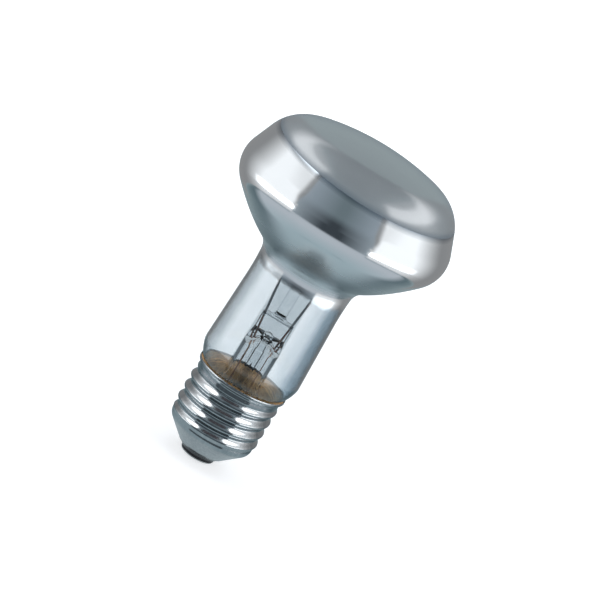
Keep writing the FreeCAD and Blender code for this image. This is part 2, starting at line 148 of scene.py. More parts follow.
# The silvering's duller and brighter colour, and how dark the line is on which it starts
SILVER = ((0.80, 0.835, 0.855), (0.86, 0.885, 0.90))
FILM_LINE_DARKNESS = 0.75

# The dark part of the room behind the camera
BEHIND_CAMERA = (0.045, 0.055, 0.065)


def spread(start, end, count):
    """Evenly spaced values from start to end, with both ends."""
    return [start + (end - start) * step / count for step in range(count + 1)]


def closed_mesh(name, points, faces, zones=None):
    """A mesh object from points and faces, smooth all over, with a material number for each face."""
    data = bpy.data.meshes.new(name)
    data.from_pydata(points, [], faces)
    data.polygons.foreach_set("use_smooth", [True] * len(data.polygons))
    if zones:
        data.polygons.foreach_set("material_index", zones)
    data.validate()
    data.update()
    piece = bpy.data.objects.new(name, data)
    bpy.context.scene.collection.objects.link(piece)
    return piece


def band_faces(upper, lower):
    """The faces between two rows of points. At the axis, where a row is one point, they have three."""
    faces = []
    for step in range(SEGMENTS):
        on = (step + 1) % SEGMENTS
        face = list(dict.fromkeys([upper[step], lower[step], lower[on], upper[on]]))
        if len(face) > 2:
            faces.append(face)
    return faces


def turned(name, line_at, zone_of=None):
    """A closed surface of revolution. line_at(bearing) gives the points (radius, height) there.

    A row that lies on the axis is one point. zone_of(row) gives a row's material number.
    """
    bearings = spread(0.0, 2 * math.pi, SEGMENTS)[:-1]
    lines = [line_at(bearing) for bearing in bearings]
    points = []
    number = {}
    for row, (radius, height) in enumerate(lines[0]):
        if radius < ON_AXIS:
            number[row] = [len(points)] * SEGMENTS
            points.append((0, 0, height))
    rows = len(lines[0])
    for row in range(rows):
        if row in number:
            continue
        number[row] = list(range(len(points), len(points) + SEGMENTS))
        for bearing, line in zip(bearings, lines):
            radius, height = line[row]
            points.append((radius * math.cos(bearing), radius * math.sin(bearing), height))
    faces = []
    zones = []
    for row in range(rows):
        band = band_faces(number[row], number[(row + 1) % rows])
        faces += band
        zones += [zone_of(row) if zone_of else 0] * len(band)
    return closed_mesh(name, points, faces, zones)


class Meridian:
    """The outer skin of the glass from the apex down, as closely spaced stations.

    Each station holds its distance along the skin, radius, height and outward angle.
    """

    def __init__(self):
        self.radius = 0.0
        self.height = overall_length
        self.angle = math.pi / 2
        self.stations = [(0.0, self.radius, self.height, self.angle)]
        self.marks = {}

    def add(self, radius, height, angle):
        """Go straight on to a station."""
        run = math.hypot(radius - self.radius, height - self.height)
        self.radius, self.height, self.angle = radius, height, angle
        self.stations.append((self.stations[-1][0] + run, radius, height, angle))

    def mark(self, name):
        """Name the distance reached."""
        self.marks[name] = self.stations[-1][0]

    def bend(self, angle, radius, steps=BEND_STEPS):
        """Turn the skin to an angle. A negative radius is a hollow curve."""
        start = self.angle
        centre_radius = self.radius - math.cos(start) * radius
        centre_height = self.height - math.sin(start) * radius
        for at in spread(start, angle, steps)[1:]:
            self.add(centre_radius + math.cos(at) * radius, centre_height + math.sin(at) * radius, at)

    def straight(self, length):
        """Go on along the skin's slope."""
        start_radius, start_height = self.radius, self.height
        for part in spread(0, length, STRAIGHT_STEPS)[1:]:
            radius = start_radius + math.sin(self.angle) * part
            self.add(radius, start_height - math.cos(self.angle) * part, self.angle)

    def bowl(self, end_radius):
        """Follow the mirror's paraboloid down to a smaller radius of the mirror."""
        start_radius = self.radius - math.cos(self.angle) * glass_wall
        start_height = self.height - math.sin(self.angle) * glass_wall
        for mirror in spread(start_radius, end_radius, BOWL_STEPS)[1:]:
            fall = (start_radius ** 2 - mirror ** 2) / (4 * focal_length)
            angle = -math.atan(2 * focal_length / mirror)
            radius = mirror + math.cos(angle) * glass_wall
            self.add(radius, start_height - fall + math.sin(angle) * glass_wall, angle)

    def at(self, distance):
        """The radius, height and outward angle at a distance along the skin."""
        low, high = 0, len(self.stations) - 1
        while high - low > 1:
            middle = (low + high) // 2
            if self.stations[middle][0] <= distance:
                low = middle
            else:
                high = middle
        before, after = self.stations[low], self.stations[high]
        share = (distance - before[0]) / (after[0] - before[0])
        return [a + (b - a) * share for a, b in zip(before[1:], after[1:])]

    def inset(self, distance, depth):
        """The point (radius, height) at a depth under the skin."""
        radius, height, angle = self.at(distance)
        return max(0.0, radius - math.cos(angle) * depth), height - math.sin(angle) * depth

    def reach(self, height, low):
        """The distance, past low, where the skin comes down to a height."""
        return halving(lambda distance: self.at(distance)[1] - height, low, self.stations[-1][0])


def halving(function, low, high):
    """The place between low and high where the function changes sign."""
    low_sign = function(low) > 0
    for _ in range(HALVINGS):
        middle = (low + high) / 2
        if (function(middle) > 0) == low_sign:
            low = middle
        else:
            high = middle
    return (low + high) / 2


def rim_centre(belt):
    """The centre (radius, height) of the rim's round, above a belt of this length."""
    radius = bulb_radius - equator_round * (1 - math.cos(belt_slope))
    height = equator_height + equator_round * math.sin(belt_slope)
    radius -= math.sin(belt_slope) * belt + math.cos(belt_slope) * rim_round
    height += math.cos(belt_slope) * belt - math.sin(belt_slope) * rim_round
    return radius, height


def belt_length():
    """The straight between the equator's round and the rim's, which the dome's size settles."""

    def mismatch(belt):
        radius, height = rim_centre(belt)
        return math.hypot(radius, height - overall_length + dome_round) - (dome_round - rim_round)

    return halving(mismatch, 0, bulb_radius)


def rim_start():
    """The outward angle where the dome runs into the rim."""
    radius, height = rim_centre(belt_length())
    return math.atan2(height - overall_length + dome_round, radius)


def bowl_start():
    """How far the equator's round turns before it runs into the paraboloid."""

    def mismatch(turn):
        mirror = bulb_radius - equator_round + (equator_round - glass_wall) * math.cos(turn)
        return mirror * math.tan(turn) - 2 * focal_length

    least, most = 0.05, 1.5
    return halving(mismatch, least, most)


def bowl_end():
    """The mirror's radius where it gives way to the throat, for the waist to come out right."""

    def mismatch(radius):
        bowl_angle = math.atan(2 * focal_length / radius)
        start = radius + glass_wall * math.cos(bowl_angle)
        throat = throat_round * (math.cos(waist_slope) - math.cos(bowl_angle))
        return start - throat - waist_round * (1 - math.cos(waist_slope)) - waist_radius

    return halving(mismatch, waist_radius, bulb_radius)


def glass_meridian():
    """The whole skin of the glass, from the apex of the face down to the seal."""
    glass = Meridian()
    glass.bend(rim_start(), dome_round, WIDE_BEND_STEPS)
    glass.bend(belt_slope, rim_round, WIDE_BEND_STEPS)
    glass.mark("belt")
    glass.straight(belt_length())
    glass.bend(-bowl_start(), equator_round, EQUATOR_STEPS)
    glass.bowl(bowl_end())
    glass.mark("throat")
    glass.bend(-waist_slope, -throat_round)
    glass.bend(neck_taper, -waist_round)
    glass.straight((glass.height - shoulder_height) / math.cos(glass.angle))
    glass.bend(-shoulder_slope, shoulder_round)
    gap = sleeve_radius + tuck_round - glass.radius + collar_round * math.cos(shoulder_slope)
    glass.bend(-math.acos(gap / (collar_round + tuck_round)), collar_round)
    glass.bend(0, -tuck_round)
    glass.straight(glass.height - seal_height)
    glass.mark("seal")
    return glass


GLASS = glass_meridian()


def edge_distance(bearing):
    """Where the frosted face ends at a bearing. The line that it ends on isn't quite level."""
    low = GLASS.marks["belt"] - 6 * MM
    distance = low
    tries = 3
    for _ in range(tries):
        radius = GLASS.at(distance)[0]
        height = film_edge_height - film_edge_lean * radius * math.cos(bearing)
        height += film_edge_pitch * radius * math.sin(bearing)
        distance = GLASS.reach(height, low)
    return distance


def glass_rows(bearing):
    """Distances down the skin: over the frosted face, then down the wall to the seal."""
    edge = edge_distance(bearing)
    return spread(0, edge, FACE_ROWS) + spread(edge, GLASS.marks["seal"], WALL_ROWS)[1:]


def glass_line(bearing):
    """The outer skin from the apex to the seal, and the inner skin back up."""
    rows = glass_rows(bearing)
    outer = [GLASS.inset(distance, skin_inset) for distance in rows]
    inner = [GLASS.inset(distance, glass_wall) for distance in reversed(rows)]
    return outer + inner


def make_bulb_glass():
    """The blown envelope, one closed shell with an outer and an inner skin."""
    rows = len(glass_rows(0.0))
    face, body, inside = 0, 1, 2

    def zone(row):
        if row < FACE_ROWS or 2 * rows - 2 - row < FACE_ROWS:
            return face
        return body if row < rows else inside

    return turned("bulb_glass", glass_line, zone)


def make_bulb_mirror():
    """The silvering on the inside of the bowl, with its upper edge just under the frosting's."""
    end = GLASS.reach(film_end_height, GLASS.marks["throat"])
    outside = glass_wall + film_inset

    def line_at(bearing):
        rows = spread(edge_distance(bearing) + film_edge_gap, end, FILM_ROWS)
        outer = [GLASS.inset(distance, outside) for distance in rows]
        return outer + [GLASS.inset(distance, outside + film_thickness) for distance in rows[::-1]]

    return turned("bulb_mirror", line_at)


def arc(centre, radius, start, end, steps):
    """Points (radius, height) on an arc, by angles from level outward."""
    across, height = centre
    angles = spread(start, end, steps)
    return [(across + radius * math.cos(at), height + radius * math.sin(at)) for at in angles]


def lip_line(mean, inset):
    """The shell's lip, from its edge down to where it has eased in to the thread."""
    ease_top = lip_foot + lip_flare
    line = [(lip_radius - inset, height) for height in spread(cap_height, ease_top, 2)]
    for share in spread(0, 1, LIP_ROWS)[1:]:
        ease = (1 + math.cos(math.pi * share)) / 2
        line.append((mean + (lip_radius - mean) * ease - inset, lip_foot + lip_flare * (1 - share)))
    line.append((mean - inset, (lip_foot + thread_top) / 2))
    return line


def thread_line(bearing, mean, foot, inset):
    """The rolled thread as a wave that fades out at both ends."""
    throw = (crest_radius - root_radius) / 2
    line = []
    for height in spread(thread_top, foot, THREAD_ROWS):
        from_end = min(height - foot, thread_top - height) / (thread_fade * thread_pitch)
        fade = math.sin(min(1, from_end) * math.pi / 2) ** 2
        turn = thread_start + 2 * math.pi * (height - foot) / thread_pitch
        line.append((mean + throw * fade * math.cos(bearing - turn) - inset, height))
    return line


def cone_line(start, inset):
    """The straight from the rounded corner down to the hole in the cone."""
    end_radius = cone_hole_radius - math.cos(cone_slope) * inset
    end_height = cone_bottom + math.sin(cone_slope) * inset
    radii = spread(start[0], end_radius, CONE_ROWS)
    heights = spread(start[1], end_height, CONE_ROWS)
    return list(zip(radii, heights))[1:]


def shell_line(bearing, inset):
    """The screw shell from its lip down to the hole in its cone, at a depth under its outside."""
    mean = (crest_radius + root_radius) / 2
    meet = cone_bottom + (mean - cone_hole_radius) / math.tan(cone_slope)
    corner_top = meet + corner_round * math.tan(cone_slope / 2)
    centre = (mean - corner_round, corner_top)
    line = lip_line(mean, inset) + thread_line(bearing, mean, corner_top, inset)
    line += arc(centre, corner_round - inset, 0, -cone_slope, CORNER_ROWS)[1:]
    return line + cone_line(line[-1], inset)


def make_screw_shell():
    """The screw shell in thin sheet, with the rolled thread as one smooth wave."""

    def line_at(bearing):
        return shell_line(bearing, 0) + shell_line(bearing, sheet)[::-1]

    return turned("screw_shell", line_at)


def make_filament_coil():
    """The tungsten wire, wound in a fine coil along the front half of a ring round the focus."""
    steps = coil_turns * coil_turn_steps
    sides = coil_wire_sides
    upward = Vector((0, 0, 1))
    points = []
    for step in range(steps + 1):
        along = math.pi * (1 + step / steps)
        wind = 2 * math.pi * coil_turns * step / steps
        radial = Vector((math.cos(along), math.sin(along), 0))
        out = radial * math.cos(wind) + upward * math.sin(wind)
        side = Vector((-math.sin(along), math.cos(along), 0))
        middle = radial * filament_radius + upward * focus_height + out * coil_radius
        for edge in range(sides):
            turn = 2 * math.pi * edge / sides
            point = middle + (out * math.cos(turn) + side * math.sin(turn)) * coil_wire_radius
            points.append(tuple(point))
    faces = [list(range(sides))[::-1], list(range(steps * sides, (steps + 1) * sides))]
    for low in range(0, steps * sides, sides):
        for edge in range(sides):
            on = (edge + 1) % sides
            faces.append([low + edge, low + on, low + sides + on, low + sides + edge])
    return closed_mesh("filament_coil", points, faces)


def math_node(tree, operation, first, second):
    """The result of an operation on two numbers or sockets."""
    made = tree.nodes.new("ShaderNodeMath")
    made.operation = operation
    for value, socket in zip((first, second), made.inputs):
        if isinstance(value, (int, float)):
            socket.default_value = value
        else:
            tree.links.new(value, socket)
    return made.outputs[0]


class Shader:
    """A node material on one Principled shader, with short calls for its nodes and links."""

    def __init__(self, name, **values):
        self.material = bpy.data.materials.new(name)
        self.material.use_nodes = True
        self.tree = self.material.node_tree
        self.main = self.tree.nodes["Principled BSDF"]
        self.coordinates = self.node("ShaderNodeTexCoord")
        for socket, value in values.items():
            self.main.inputs[socket.replace("_", " ")].default_value = value

    def node(self, kind, **settings):
        """A node with its settings."""
        made = self.tree.nodes.new(kind)
        for name, value in settings.items():
            setattr(made, name, value)
        return made

    def link(self, source, target):
        self.tree.links.new(source, target)

    def mapped(self, scale):
        """Object coordinates, in metres, times a scale for each axis."""
        mapping = self.node("ShaderNodeMapping")
        mapping.inputs["Scale"].default_value = scale
        self.link(self.coordinates.outputs["Object"], mapping.inputs["Vector"])
        return mapping.outputs["Vector"]

    def noise(self, scale, detail=3.0, stretch=(1, 1, 1)):
        """A noise with about this many lumps to the metre."""
        texture = self.node("ShaderNodeTexNoise")
        texture.inputs["Scale"].default_value = scale
        texture.inputs["Detail"].default_value = detail
        texture.inputs["Roughness"].default_value = 0.55
        self.link(self.mapped(stretch), texture.inputs["Vector"])
        return texture.outputs["Fac"]

    def ramp(self, source, low, high, start, end):
        """The source's range from low to high, turned into start to end and held there."""
        made = self.node("ShaderNodeMapRange")
        sockets = ("From Min", "From Max", "To Min", "To Max")
        for socket, value in zip(sockets, (low, high, start, end)):
            made.inputs[socket].default_value = value
        self.link(source, made.inputs["Value"])
        return made.outputs["Result"]

    def profile(self, source, stops):
        """A value that follows stops (source, value) in straight lines and is held past the ends."""
        low, high = stops[0][0], stops[-1][0]
        peak = max(value for _, value in stops)
        made = self.node("ShaderNodeValToRGB")
        points = made.color_ramp.elements
        while len(points) < len(stops):
            points.new(0.5)
        for point, (at, value) in zip(points, stops):
            point.position = (at - low) / (high - low)
            point.color = (value / peak, value / peak, value / peak, 1)
        self.link(self.ramp(source, low, high, 0.0, 1.0), made.inputs["Fac"])
        return self.math("MULTIPLY", made.outputs["Color"], peak)

    def blend(self, factor, first, second):
        """A colour between two colours or sockets."""
        made = self.node("ShaderNodeMix", data_type="RGBA")
        self.link(factor, made.inputs["Factor"])
        for value, socket in ((first, made.inputs[6]), (second, made.inputs[7])):
            if isinstance(value, tuple):
                socket.default_value = (*value, 1)
            else:
                self.link(value, socket)
        return made.outputs[2]

    def math(self, operation, first, second):
        return math_node(self.tree, operation, first, second)

    def place(self):
        """How far right, how far back and how high, in metres from the contact tip."""
        parts = self.node("ShaderNodeSeparateXYZ")
        self.link(self.coordinates.outputs["Object"], parts.inputs[0])
        return parts.outputs

    def height(self):
        return self.place()["Z"]

    def distance(self):
        """The distance from the contact tip, in metres."""
        length = self.node("ShaderNodeVectorMath", operation="LENGTH")
        self.link(self.coordinates.outputs["Object"], length.inputs[0])
        return length.outputs["Value"]

    def set(self, **sources):
        """Link sources to the main shader's sockets, named with _ for each space."""
        for socket, source in sources.items():
            self.link(source, self.main.inputs[socket.replace("_", " ")])

    def bump(self, source, distance, strength):
        """Raise the surface by a source."""
        made = self.node("ShaderNodeBump")
        made.inputs["Strength"].default_value = strength
        made.inputs["Distance"].default_value = distance
        self.link(source, made.inputs["Height"])
        self.link(made.outputs["Normal"], self.main.inputs["Normal"])


def above_film_edge(shader):
    """The height above the line where the silvering meets the frosted face, in metres."""
    place = shader.place()
    lean = shader.math("MULTIPLY", place["X"], film_edge_lean)
    pitch = shader.math("MULTIPLY", place["Y"], film_edge_pitch)
    level = shader.math("SUBTRACT", shader.math("ADD", place["Z"], lean), pitch)
    return shader.math("SUBTRACT", level, film_edge_height)


def frosted_glass():
    """The face: glass frosted on its inside, so the skin is glossy over a milky grey."""
    shader = Shader(
        "frosted_glass", Coat_Weight=1.0, Coat_Roughness=0.2, Coat_IOR=2.0, IOR=GLASS_IOR
    )
    cloud = shader.noise(90, 2)
    grain = shader.noise(5200, 2)
    tone = shader.blend(cloud, (0.150, 0.176, 0.192), (0.170, 0.198, 0.215))
    speck = shader.ramp(grain, 0.3, 0.7, 0.0, 1.0)
    face = shader.blend(shader.math("MULTIPLY", speck, 0.25), tone, (0.21, 0.24, 0.255))
    line = shader.ramp(above_film_edge(shader), 0.0, film_edge_softness, FILM_LINE_DARKNESS, 0.0)
    shader.set(
        Base_Color=shader.blend(line, face, (0.07, 0.10, 0.13)),
        Roughness=shader.ramp(cloud, 0.3, 0.7, 0.42, 0.5),
        Coat_Weight=shader.math("SUBTRACT", 1.0, line),
    )
    shader.bump(grain, 0.00002, 0.25)
    return shader.material


def let_lamps_through(shader, clear=1.0):
    """Lamplight goes through clear glass to what it holds, as it does through a real bulb."""
    path = shader.node("ShaderNodeLightPath")
    open_glass = shader.node("ShaderNodeBsdfTransparent")
    open_glass.inputs["Color"].default_value = (0.98, 0.985, 0.985, 1)
    either = shader.node("ShaderNodeMixShader")
    output = shader.tree.nodes["Material Output"]
    shader.link(shader.math("MULTIPLY", path.outputs["Is Shadow Ray"], clear), either.inputs[0])
    shader.link(shader.main.outputs[0], either.inputs[1])
    shader.link(open_glass.outputs[0], either.inputs[2])
    shader.link(either.outputs[0], output.inputs["Surface"])


# Painted shade: how much more the glass tints for each metre to the right, so that its right side is
# drawn darker
RIGHT_SIDE_PAINTED_SHADE = 60.0


def glass_tint(shader, face_on, edge_on):
    """Glass looks bluer where it is seen edge on, and a painted shade makes it bluer towards the right;
    less so in front of the cement.
    """
    facing = shader.node("ShaderNodeLayerWeight")
    facing.inputs["Blend"].default_value = 0.35
    place = shader.place()
    # painted shade: the tint deepens towards the right
    painted_right_shade = shader.math("MULTIPLY", place["X"], RIGHT_SIDE_PAINTED_SHADE)
    edge_on_and_right_shade = shader.math("ADD", facing.outputs["Facing"], painted_right_shade)
    edge = shader.ramp(edge_on_and_right_shade, 0.42, 0.88, 0.0, 1.0)
    foot = shader.ramp(place["Z"], 0.0275, 0.0300, 0.2, 1.0)
    tone = shader.blend(shader.math("MULTIPLY", edge, foot), face_on, edge_on)
    smear = shader.ramp(shader.noise(SMEARS), 0.4, 0.7, 0.0, 0.12)
    return shader.blend(smear, tone, (0.9, 0.92, 0.93))


# How much duller the silvering is than elsewhere, by height
BOWL_DULLNESS = [(0.0615, 0.0), (0.0635, 0.20), (0.0680, 0.22), (0.0745, 0.11), (0.0780, 0.0)]

# Painted dark reflection: how much greyer the silvering is drawn just above the throat, by height
THROAT_PAINTED_REFLECTION = [(0.0650, 0.0), (0.0662, 0.75), (0.0685, 0.55), (0.0710, 0.0)]

# The heights between which the silvering starts in the throat, and those where it looks thin
SILVER_START = (0.0595, 0.0611)
SILVER_THIN = (0.0625, 0.0600)


def throat_height(shader):
    """The height, shifted in wisps and a little aslant, that says where the silvering ends."""
    place = shader.place()
    wisp = shader.noise(240, 4, stretch=(1, 1, 0.5))
    aslant = shader.math("MULTIPLY", place["X"], 0.09)
    uneven = shader.math("ADD", shader.math("MULTIPLY", wisp, 0.0016), aslant)
    return shader.math("ADD", place["Z"], uneven)


def silver_tone(shader, height, line):
    """The silvering's colour: a painted dark reflection over the throat, dull where it is thin, dark on
    its line.
    """
    tone = shader.blend(shader.noise(CLOUDS), *SILVER)
    thin = shader.ramp(height, *SILVER_THIN, 0.0, 1.0)
    tone = shader.blend(thin, tone, (0.50, 0.56, 0.60))
    # painted reflection: a darker band drawn over the throat
    shade = shader.profile(shader.height(), THROAT_PAINTED_REFLECTION)
    tone = shader.blend(shade, tone, (0.42, 0.47, 0.49))
    return shader.blend(line, tone, (0.16, 0.21, 0.26))


def body_roughness(shader, silver, dull):
    """Polished where the glass is clear, satin where it is silvered."""
    gloss = shader.ramp(shader.noise(SMEARS), 0.45, 0.75, 0.0, 0.02)
    satin = shader.ramp(shader.noise(CLOUDS), 0.3, 0.7, 0.09, 0.13)
    mixed = shader.node("ShaderNodeMix")
    shader.link(silver, mixed.inputs["Factor"])
    shader.link(gloss, mixed.inputs[2])
    shader.link(shader.math("ADD", satin, dull), mixed.inputs[3])
    return mixed.outputs[0]


def body_glass():
    """The skin below the face: silvered from behind down to the throat, then clear.

    The silvering starts on a dark line, and thins out in wisps before it lets light through.
    """
    shader = Shader(
        "body_glass", Transmission_Weight=1.0, IOR=GLASS_IOR, Coat_Weight=1.0, Coat_Roughness=0.02
    )
    height = throat_height(shader)
    silver = shader.ramp(height, *SILVER_START, 0.0, 1.0)
    line = shader.ramp(above_film_edge(shader), -film_edge_softness, 0.0, 0.0, FILM_LINE_DARKNESS)
    dull = shader.profile(shader.height(), BOWL_DULLNESS)
    clear = glass_tint(shader, (0.52, 0.585, 0.62), (0.24, 0.33, 0.39))
    coat = shader.math("SUBTRACT", 1.0, line)
    shader.set(
        Base_Color=shader.blend(silver, clear, silver_tone(shader, height, line)),
        Metallic=silver,
        Roughness=body_roughness(shader, silver, dull),
        Coat_Weight=shader.math("SUBTRACT", coat, shader.math("MULTIPLY", dull, 4.0)),
    )
    let_lamps_through(shader, shader.math("SUBTRACT", 1.0, silver))
    return shader.material


def inner_glass():
    """The inside of the clear glass."""
    shader = Shader("inner_glass", Transmission_Weight=1.0, IOR=GLASS_IOR)
    smear = shader.noise(140, 3)
    shader.set(
        Base_Color=glass_tint(shader, (0.84, 0.87, 0.885), (0.60, 0.70, 0.76)),
        Roughness=shader.ramp(smear, 0.45, 0.75, 0.0, 0.02),
    )
    let_lamps_through(shader)
    return shader.material


# Painted shade: how dark a line is drawn on the clear glass round the press's fire-polished top, by
# height
PRESS_RIM_PAINTED_SHADE = [
    (0.04620, 0.0),
    (0.04635, 0.9),
    (0.04660, 0.9),
    (0.04675, 0.25),
    (0.04770, 0.25),
    (0.04785, 0.0),
]


def stem_glass():
    """The stem: lead glass, drawn and pressed by hand, so faintly streaked along its length."""
    shader = Shader("stem_glass", Transmission_Weight=1.0, IOR=1.25)
    streak = shader.noise(500, 3, stretch=(1, 1, 0.12))
    tone = shader.blend(streak, (0.975, 0.985, 0.99), (1.0, 1.0, 1.0))
    # painted shade: a dark line round the press's top edge
    rim = shader.profile(shader.height(), PRESS_RIM_PAINTED_SHADE)
    shader.set(
        Base_Color=shader.blend(rim, tone, (0.08, 0.11, 0.13)),
        Roughness=shader.ramp(streak, 0.4, 0.7, 0.0, 0.05),
    )
    shader.bump(streak, 0.00006, 0.3)
    let_lamps_through(shader)
    return shader.material


def mirror_film():
    """Evaporated aluminium behind the glass, thin and slightly brown where it ends in the throat."""
    shader = Shader("mirror_film", Metallic=1.0)
    height = shader.height()
    cloud = shader.noise(CLOUDS)
    wisp = shader.noise(260, 4, stretch=(1, 1, 0.5))
    tarnish = shader.ramp(height, 0.0655, 0.0605, 0.0, 0.75)
    bright = shader.blend(cloud, *SILVER)
    edge = shader.math("ADD", height, shader.math("MULTIPLY", wisp, 0.0022))
    shader.set(
        Base_Color=shader.blend(tarnish, bright, (0.33, 0.31, 0.29)),
        Roughness=shader.ramp(cloud, 0.3, 0.7, 0.03, 0.07),
        Alpha=shader.ramp(edge, 0.0598, 0.0622, 0.0, 1.0),
    )
    return shader.material


# The bare metals: a dark and a bright colour, the roughness from and to, the lumps to the metre
METALS = {
    "nickel": ((0.43, 0.46, 0.48), (0.58, 0.60, 0.61), 0.10, 0.19, 1500),
    "tungsten": ((0.28, 0.28, 0.29), (0.44, 0.44, 0.45), 0.3, 0.5, 4000),
    "lead_wire": ((0.36, 0.37, 0.39), (0.52, 0.53, 0.55), 0.22, 0.4, 3000),
    "copper_clad_wire": ((0.26, 0.13, 0.10), (0.40, 0.22, 0.17), 0.3, 0.5, 3000),
    "copper_lead": ((0.50, 0.29, 0.20), (0.70, 0.44, 0.32), 0.25, 0.45, 3000),
    "contact_metal": ((0.42, 0.42, 0.42), (0.56, 0.56, 0.55), 0.25, 0.45, 2000),
    "solder": ((0.46, 0.47, 0.48), (0.66, 0.67, 0.68), 0.25, 0.5, 1400),
    "support_wire": ((0.34, 0.34, 0.35), (0.50, 0.50, 0.51), 0.25, 0.45, 4000),
}


def metal(name, stretch=(1, 1, 1), depth=0.00001):
    """A bare metal, with a grain that shifts its colour and its roughness a little."""
    dark, bright, low, high, grain = METALS[name]
    shader = Shader(name, Metallic=1.0)
    fine = shader.noise(grain, 3, stretch)
    wide = shader.noise(grain / 9, 3)
    both = shader.math("MULTIPLY", shader.math("ADD", fine, wide), 0.5)
    shader.set(
        Base_Color=shader.blend(shader.ramp(both, 0.35, 0.65, 0, 1), dark, bright),
        Roughness=shader.ramp(both, 0.35, 0.65, low, high),
    )
    shader.bump(fine, depth, 0.3)
    return shader.material


def black_glass():
    """The insulator's black glass, glossy and faintly swirled."""
    shader = Shader("black_glass", IOR=1.4)
    swirl = shader.noise(220, 4)
    shader.set(
        Base_Color=shader.blend(swirl, (0.006, 0.006, 0.008), (0.022, 0.02, 0.024)),
        Roughness=shader.ramp(swirl, 0.35, 0.7, 0.12, 0.3),
    )
    shader.bump(swirl, 0.00012, 0.35)
    return shader.material


def basing_cement():
    """Baked brown basing cement, gritty and unevenly squeezed out."""
    shader = Shader("basing_cement", IOR=1.45)
    lump = shader.noise(700, 4)
    grit = shader.noise(3800, 3)
    baked = shader.ramp(lump, 0.35, 0.65, 0, 1)
    shade = shader.blend(baked, (0.74, 0.38, 0.150), (1.00, 0.62, 0.30))
    grain = shader.ramp(grit, 0.55, 0.75, 0, 0.6)
    shader.set(
        Base_Color=shader.blend(grain, shade, (0.80, 0.56, 0.30)),
        Roughness=shader.ramp(grit, 0.3, 0.7, 0.55, 0.85),
    )
    shader.bump(shader.math("ADD", lump, shader.math("MULTIPLY", grit, 0.3)), 0.0003, 0.8)
    return shader.material


def finish_node(name, material):
    """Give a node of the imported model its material."""
    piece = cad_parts[name]
    piece.data.materials.clear()
    piece.data.materials.append(material)


def dress(piece, nodes, materials):
    """Put a new piece in place of the nodes that it stands for."""
    for material in materials:
        piece.data.materials.append(material)
    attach(piece, BODY)
    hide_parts(*nodes)


def make_pieces():
    """The four pieces that are made again here, each in place of its node."""
    glass = [frosted_glass(), body_glass(), inner_glass()]
    dress(make_bulb_glass(), ["glass_envelope"], glass)
    dress(make_bulb_mirror(), ["mirror_coating"], [mirror_film()])
    nickel = metal("nickel", stretch=(1, 1, 0.1))
    dress(make_screw_shell(), ["cap_shell"], [nickel])
    dress(make_filament_coil(), ["filament"], [metal("tungsten")])


def finish_nodes():
    """The materials of the nodes that are shown as they are."""
    finishes = [
        (stem_glass(), ["stem_glass", "exhaust_tube", "arbor_rod"]),
        (metal("lead_wire"), ["inner_lead_left", "inner_lead_right"]),
        (metal("copper_clad_wire"), ["seal_wire_left", "seal_wire_right"]),
        (metal("copper_lead"), ["centre_lead", "side_lead"]),
        (metal("contact_metal"), ["centre_contact"]),
        (metal("solder", depth=0.00008), ["contact_solder", "side_solder"]),
        (metal("support_wire"), ["support_wire_1", "support_wire_2", "support_wire_3"]),
        (basing_cement(), ["basing_cement"]),
        (black_glass(), ["insulator"]),
    ]
    for material, names in finishes:
        for name in names:
            finish_node(name, material)


def room_paint(name, colour=(1, 1, 1), strength=1.0):
    """Paint for a studio panel that gives the light that it is seen by."""
    shader = Shader(name, Roughness=0.9, Specular_IOR_Level=0.0, Emission_Strength=strength)
    shader.main.inputs["Base Color"].default_value = (0, 0, 0, 1)
    shader.main.inputs["Emission Color"].default_value = (*colour, 1)
    return shader


def panel(name, points, faces, material):
    """A studio panel that shows in reflections only. The camera and the lamps look through it."""
    made = closed_mesh(name, points, faces)
    made.data.materials.append(material)
    made.visible_camera = False
    made.visible_diffuse = False
    made.visible_transmission = False
    made.visible_shadow = False


def wall(name, radius, bearings, heights, material):
    """A curved panel round the bulb, between two bearings in degrees."""
    steps = 24
    points = []
    for bearing in spread(math.radians(bearings[0]), math.radians(bearings[1]), steps):
        for height in heights:
            points.append((radius * math.sin(bearing), -radius * math.cos(bearing), height))
    faces = [(2 * step, 2 * step + 1, 2 * step + 3, 2 * step + 2) for step in range(steps)]
    panel(name, points, faces, material)


def level_panel(name, corner, opposite, height, material):
    """A level panel between two corners (x, y)."""
    (x0, y0), (x1, y1) = corner, opposite
    points = [(x0, y0, height), (x1, y0, height), (x1, y1, height), (x0, y1, height)]
    panel(name, points, [(0, 1, 2, 3)], material)


def table_panel(material):
    """A table top. Towards the softboxes it slopes away, so that their feet show over its edge."""
    points = [(0, 0, 0)]
    steps = 90
    for step in range(steps):
        degrees = step * 360 / steps - 180
        bearing = math.radians(degrees)
        end = (TABLE_END, 0.0)
        if SOFTBOX_BEARINGS[0] < abs(degrees) < SOFTBOX_BEARINGS[1]:
            end = (SOFTBOX_RADIUS + 0.001, SOFTBOX_FOOT)
        for reach, height in ((TABLE_EDGE, 0.0), end):
            points.append((reach * math.sin(bearing), -reach * math.cos(bearing), height))
    faces = []
    for step in range(steps):
        near, on = 1 + 2 * step, 1 + 2 * ((step + 1) % steps)
        faces.append((0, near, on))
        faces.append((near, near + 1, on + 1, on))
    panel("table", points, faces, material)


# How strongly the softboxes shine at each height, and the strip light at their foot
SOFTBOX_LIGHT = [
    (-0.075, 0.45),
    (-0.030, 0.60),
    (-0.015, 0.88),
    (0.190, 0.88),
    (0.213, 0.50),
    (0.225, 1.2),
    (0.245, 3.3),
    (0.400, 2.8),
]
STRIP_LIGHT = [(-0.028, 0.0), (-0.018, 2.4), (0.016, 2.4), (0.034, 0.0)]

# What the cloth gives off where it isn't lit
SOFTBOX_DIM = 0.27


